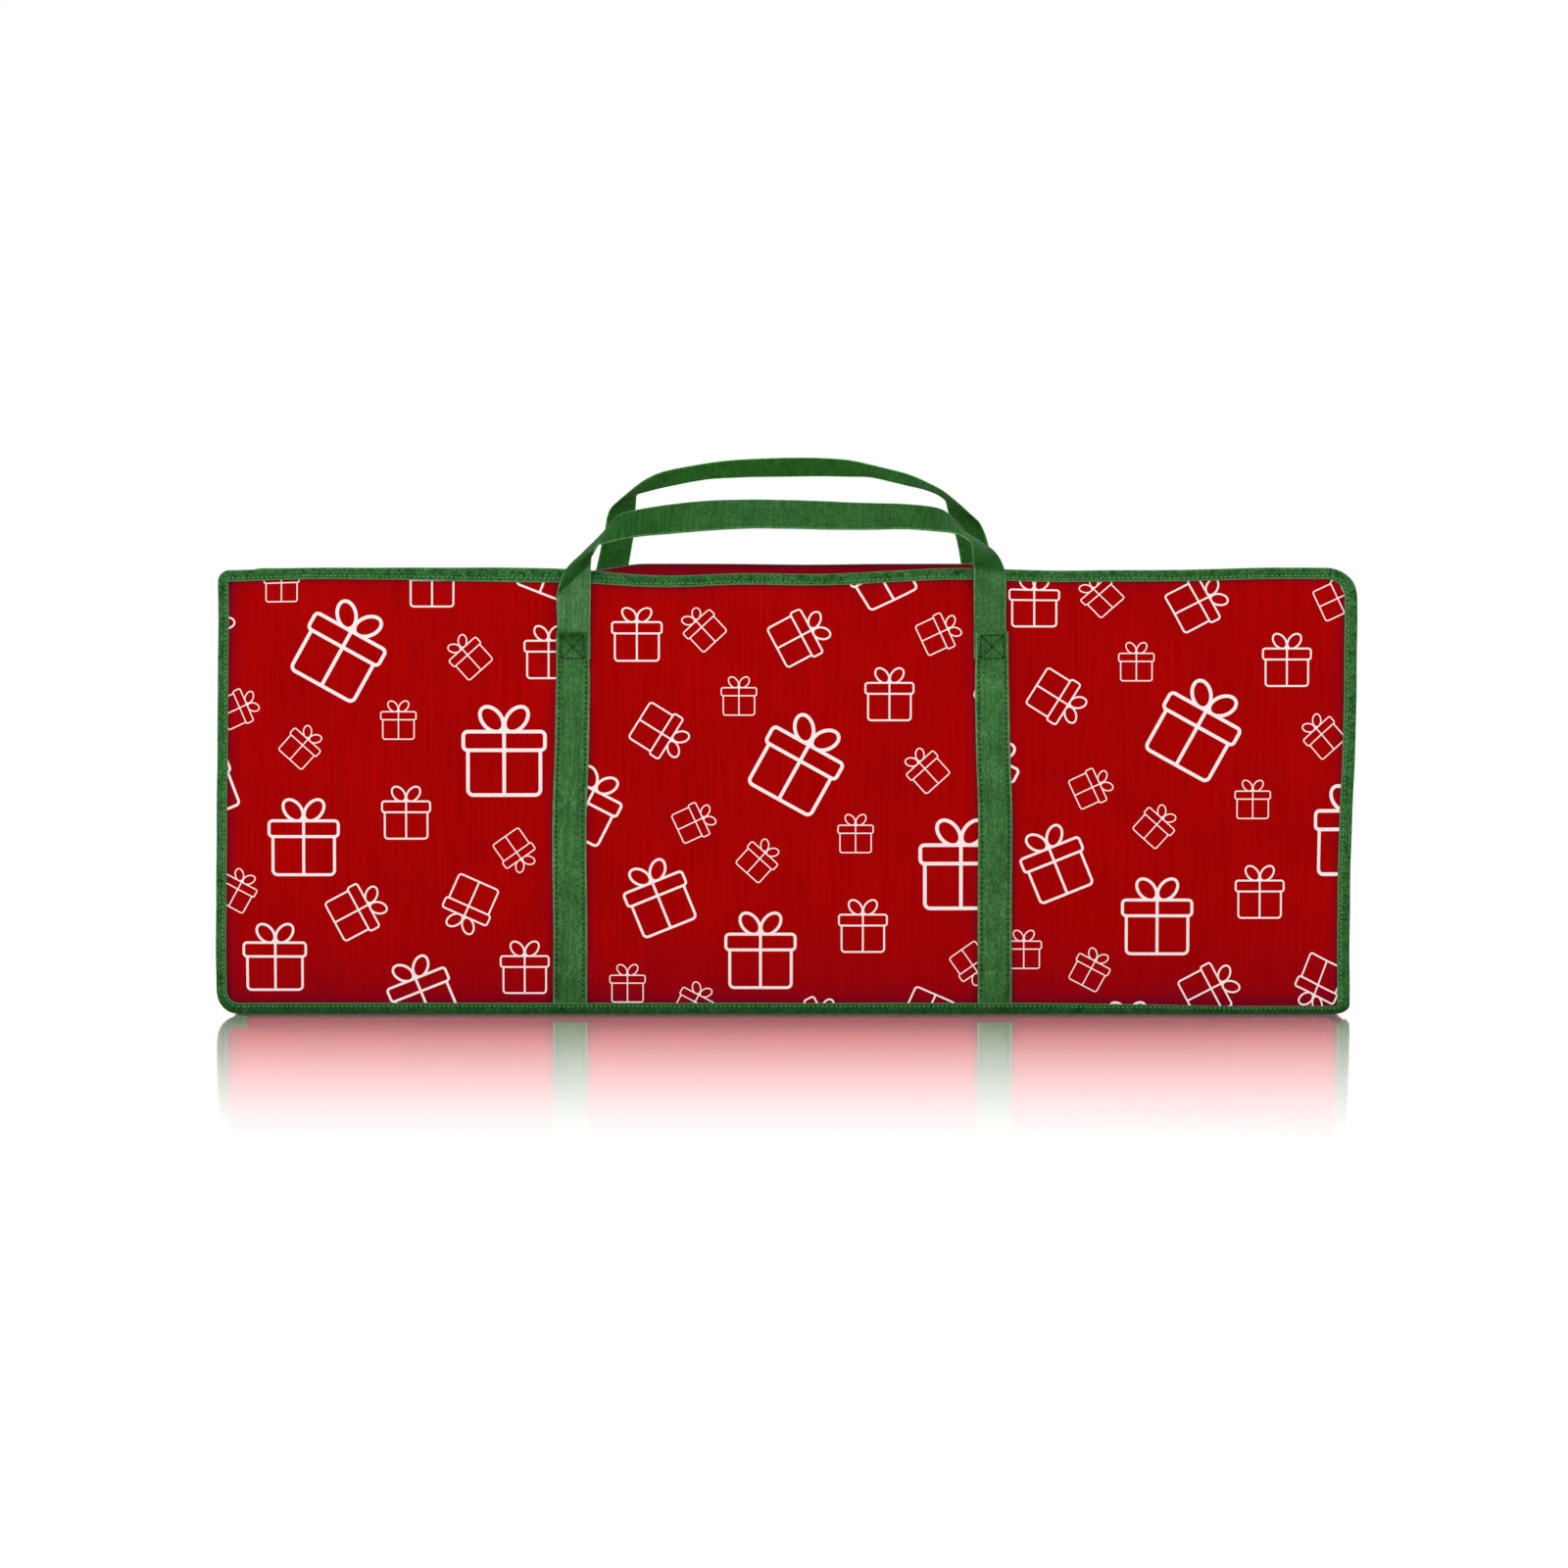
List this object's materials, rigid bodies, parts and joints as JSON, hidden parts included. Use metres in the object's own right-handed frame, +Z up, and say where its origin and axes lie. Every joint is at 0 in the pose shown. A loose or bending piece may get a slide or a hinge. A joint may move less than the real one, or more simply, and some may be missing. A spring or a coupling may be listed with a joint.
{
  "type": "gift wrap storage bag",
  "caption": "Long upright zipped storage bag for rolls of wrapping paper, with bound seams, flat straps up both faces and webbing carrying loops.",
  "frame": {"origin": "centre of the underside, on the surface that the bag stands on", "axes": "+X along the length to the right of the front face, -Y out of the front face, +Z up"},
  "size_m": [0.838, 0.1686, 0.4099],
  "materials": {
    "red_fabric": "woven coated fabric with fine upright ribs and a white line print on the faces",
    "green_binding": "soft folded binding tape",
    "green_webbing": "flat ribbed webbing",
    "green_thread": "twisted sewing thread",
    "zip_tape": "fine woven tape",
    "zip_teeth": "moulded teeth",
    "zip_metal": "black enamel on die-cast metal",
    "stiff_board": "plain sheet"
  },
  "bodies": {
    "bag": {"bottom_panel": "red_fabric", "base_board": "stiff_board", "left_end_panel": "red_fabric", "right_end_panel": "red_fabric", "front_panel_left": "red_fabric", "front_panel_centre": "red_fabric", "front_panel_right": "red_fabric", "back_panel_left": "red_fabric", "back_panel_centre": "red_fabric", "back_panel_right": "red_fabric", "front_binding": "green_binding", "back_binding": "green_binding", "left_top_strip": "red_fabric", "right_top_strip": "red_fabric", "left_zip_stop": "zip_metal", "right_zip_stop": "zip_metal", "front_strap_left": "green_webbing", "front_strap_right": "green_webbing", "back_strap_left": "green_webbing", "back_strap_right": "green_webbing", "front_handle_lap_left": "green_webbing", "front_handle_lap_right": "green_webbing", "back_handle_lap_left": "green_webbing", "back_handle_lap_right": "green_webbing", "front_box_stitch_left": "green_thread", "front_box_stitch_right": "green_thread", "back_box_stitch_left": "green_thread", "back_box_stitch_right": "green_thread"},
    "front_flap": {"front_top_flap": "red_fabric", "front_zip_tape": "zip_tape", "front_zip_teeth": "zip_teeth"},
    "back_flap": {"back_top_flap": "red_fabric", "back_zip_tape": "zip_tape", "back_zip_teeth": "zip_teeth"},
    "slider": {"zip_slider": "zip_metal"},
    "pull": {"zip_pull": "zip_metal"},
    "front_loop": {"front_handle": "green_webbing"},
    "back_loop": {"back_handle": "green_webbing"}
  },
  "joints": [
    {"name": "front_flap_fold", "type": "hinge", "parent": "bag", "child": "front_flap", "pos_m": [0, -0.0602, 0.3232], "axis": [1, 0, 0], "range_deg": [0, 60]},
    {"name": "back_flap_fold", "type": "hinge", "parent": "bag", "child": "back_flap", "pos_m": [0, 0.0602, 0.3232], "axis": [-1, 0, 0], "range_deg": [0, 60]},
    {"name": "zip_slide", "type": "slide", "parent": "bag", "child": "slider", "axis": [-1, 0, 0], "range_m": [0, 0.727]},
    {"name": "pull_flip", "type": "hinge", "parent": "slider", "child": "pull", "pos_m": [0.3635, 0, 0.32565], "axis": [0, -1, 0], "range_deg": [0, 170]},
    {"name": "front_handle_fold", "type": "hinge", "parent": "bag", "child": "front_loop", "pos_m": [0, -0.069, 0.2835], "axis": [1, 0, 0], "range_deg": [0, 165]},
    {"name": "back_handle_fold", "type": "hinge", "parent": "bag", "child": "back_loop", "pos_m": [0, 0.069, 0.2835], "axis": [-1, 0, 0], "range_deg": [0, 165]}
  ]
}
